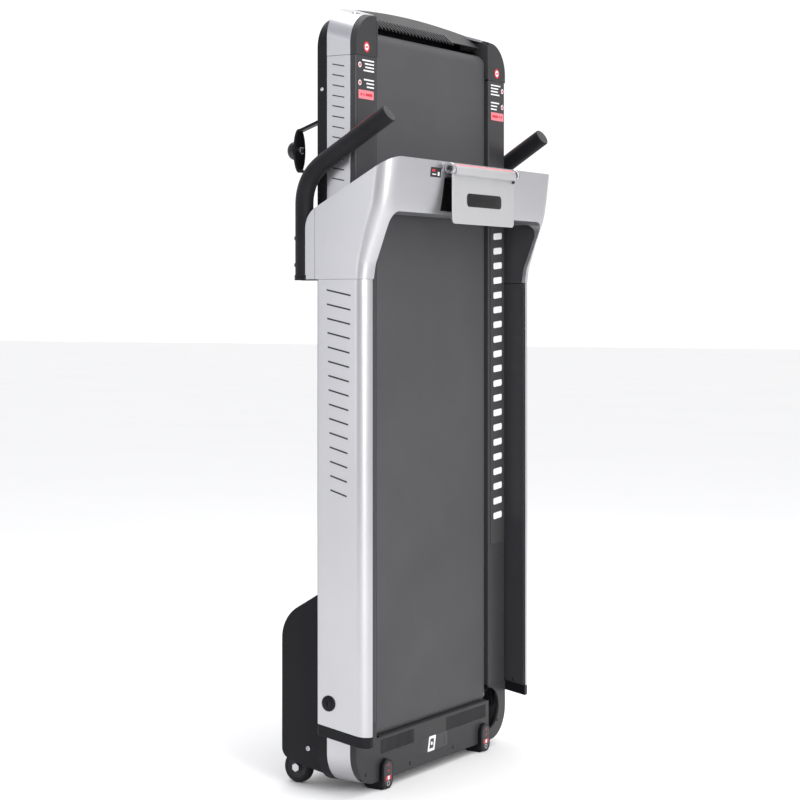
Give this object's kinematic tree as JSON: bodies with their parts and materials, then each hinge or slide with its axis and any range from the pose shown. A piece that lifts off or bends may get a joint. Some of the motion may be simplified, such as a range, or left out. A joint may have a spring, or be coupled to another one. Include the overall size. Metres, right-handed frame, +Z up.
{
  "type": "folding treadmill",
  "caption": "Folding treadmill stored standing on its motor end: belt deck with rollers and motor, and a hinged console arch with handlebars and a flip-up tablet rest.",
  "frame": {"origin": "on the floor, below the middle of the whole stored object's box", "axes": "+X across the deck to the right as the running surface is looked at, +Y from the running surface towards the underside, +Z up, from the motor end to the rear end of the deck"},
  "size_m": [0.7434, 0.3606, 1.691],
  "materials": {
    "silver_shell": "satin metallic silver paint on moulded shells",
    "silver_metal": "satin silver paint",
    "charcoal_plastic": "fine-grained moulded charcoal plastic",
    "black_plastic": "satin black moulded plastic",
    "frame_paint": "black powder coat",
    "bare_steel": "machined and zinc-plated steel",
    "black_rubber": "black rubber",
    "bar_foam": "black foam grip over a steel tube",
    "running_belt": "diamond-woven anti-slip PVC face",
    "board": "phenolic-faced MDF",
    "key_red": "red plastic"
  },
  "bodies": {
    "deck": {"underframe": "frame_paint", "left_frame_rail": "frame_paint", "right_frame_rail": "frame_paint", "front_crossbar": "frame_paint", "rear_crossbar": "frame_paint", "running_board": "board", "running_belt": "running_belt", "drive_roller_shaft": "bare_steel", "rear_roller_shaft": "bare_steel", "left_roller_bracket": "bare_steel", "right_roller_bracket": "bare_steel", "motor_can": "bare_steel", "motor_mount": "frame_paint", "drive_belt": "black_rubber", "controller_board": "black_plastic", "left_side_band": "silver_shell", "right_side_band": "silver_shell", "left_corner_trim": "silver_shell", "right_corner_trim": "silver_shell", "left_foot_rail": "charcoal_plastic", "right_foot_rail": "charcoal_plastic", "rear_end_cap": "charcoal_plastic", "front_cover": "charcoal_plastic", "motor_hood": "black_plastic", "left_wheel_bracket": "frame_paint", "right_wheel_bracket": "frame_paint", "left_front_foot": "black_rubber", "right_front_foot": "black_rubber", "left_rear_stand": "frame_paint", "right_rear_stand": "frame_paint", "fold_shaft": "bare_steel"},
    "drive_roller": {"drive_roller": "bare_steel"},
    "rear_roller": {"rear_roller": "bare_steel"},
    "motor_rotor": {"motor_rotor": "bare_steel"},
    "left_wheel": {"left_wheel": "black_rubber"},
    "right_wheel": {"right_wheel": "black_rubber"},
    "power_rocker": {"power_rocker": "black_plastic"},
    "left_levelling_foot": {"left_levelling_foot": "black_rubber"},
    "right_levelling_foot": {"right_levelling_foot": "black_rubber"},
    "arch": {"left_upright_shell": "silver_shell", "right_upright_shell": "silver_shell", "left_upright_cover": "charcoal_plastic", "right_upright_cover": "charcoal_plastic", "left_upright_end_cap": "black_plastic", "right_upright_end_cap": "black_plastic", "left_upright_tube": "frame_paint", "right_upright_tube": "frame_paint", "left_handlebar": "bar_foam", "right_handlebar": "bar_foam", "left_console_shroud": "silver_shell", "right_console_shroud": "silver_shell", "console_beam": "silver_shell", "pocket_liner": "black_plastic", "console_display": "black_plastic"},
    "tablet_rest": {"tablet_tube": "silver_metal", "tablet_plate": "silver_metal"},
    "start_button": {"start_button": "charcoal_plastic"},
    "speed_up_button": {"speed_up_button": "charcoal_plastic"},
    "speed_down_button": {"speed_down_button": "charcoal_plastic"},
    "safety_key": {"safety_key": "key_red"}
  },
  "joints": [
    {"name": "fold", "type": "hinge", "parent": "deck", "child": "arch", "pos_m": [0, -0.00175, 0.204], "axis": [1, 0, 0], "range_deg": [0, 90]},
    {"name": "drive_roller_spin", "type": "hinge", "parent": "deck", "child": "drive_roller", "pos_m": [0, -0.00975, 0.13], "axis": [1, 0, 0], "continuous": true},
    {"name": "rear_roller_spin", "type": "hinge", "parent": "deck", "child": "rear_roller", "pos_m": [0, -0.00975, 1.602], "axis": [1, 0, 0], "continuous": true},
    {"name": "motor_spin", "type": "hinge", "parent": "deck", "child": "motor_rotor", "pos_m": [0, 0.10025, 0.262], "axis": [1, 0, 0], "continuous": true},
    {"name": "left_wheel_spin", "type": "hinge", "parent": "deck", "child": "left_wheel", "pos_m": [-0.26, 0.14625, 0.034], "axis": [1, 0, 0], "continuous": true},
    {"name": "right_wheel_spin", "type": "hinge", "parent": "deck", "child": "right_wheel", "pos_m": [0.26, 0.14625, 0.034], "axis": [1, 0, 0], "continuous": true},
    {"name": "power_switch", "type": "hinge", "parent": "deck", "child": "power_rocker", "pos_m": [0.3035, 0.09275, 0.2225], "axis": [0, 1, 0], "range_deg": [-8, 8]},
    {"name": "left_foot_screw", "type": "slide", "parent": "deck", "child": "left_levelling_foot", "axis": [0, 1, 0], "range_m": [0, 0.008]},
    {"name": "right_foot_screw", "type": "slide", "parent": "deck", "child": "right_levelling_foot", "axis": [0, 1, 0], "range_m": [0, 0.008]},
    {"name": "tablet_flip", "type": "hinge", "parent": "arch", "child": "tablet_rest", "pos_m": [0, -0.16875, 1.336], "axis": [-1, 0, 0], "range_deg": [0, 100]},
    {"name": "start_press", "type": "slide", "parent": "arch", "child": "start_button", "axis": [0, -0.4772, -0.8788], "range_m": [0, 0.002], "stiffness_N_per_m": 400, "springref_m": -0.0015},
    {"name": "speed_up_press", "type": "slide", "parent": "arch", "child": "speed_up_button", "axis": [0, -0.4772, -0.8788], "range_m": [0, 0.002], "stiffness_N_per_m": 400, "springref_m": -0.0015},
    {"name": "speed_down_press", "type": "slide", "parent": "arch", "child": "speed_down_button", "axis": [0, -0.4772, -0.8788], "range_m": [0, 0.002], "stiffness_N_per_m": 400, "springref_m": -0.0015},
    {"name": "safety_key_pull", "type": "slide", "parent": "arch", "child": "safety_key", "axis": [0, 0.4772, 0.8788], "range_m": [0, 0.03]}
  ],
  "couplings": [
    {"joint": "rear_roller_spin", "follows": "drive_roller_spin", "ratio": 1},
    {"joint": "motor_spin", "follows": "drive_roller_spin", "ratio": 1.4583}
  ]
}
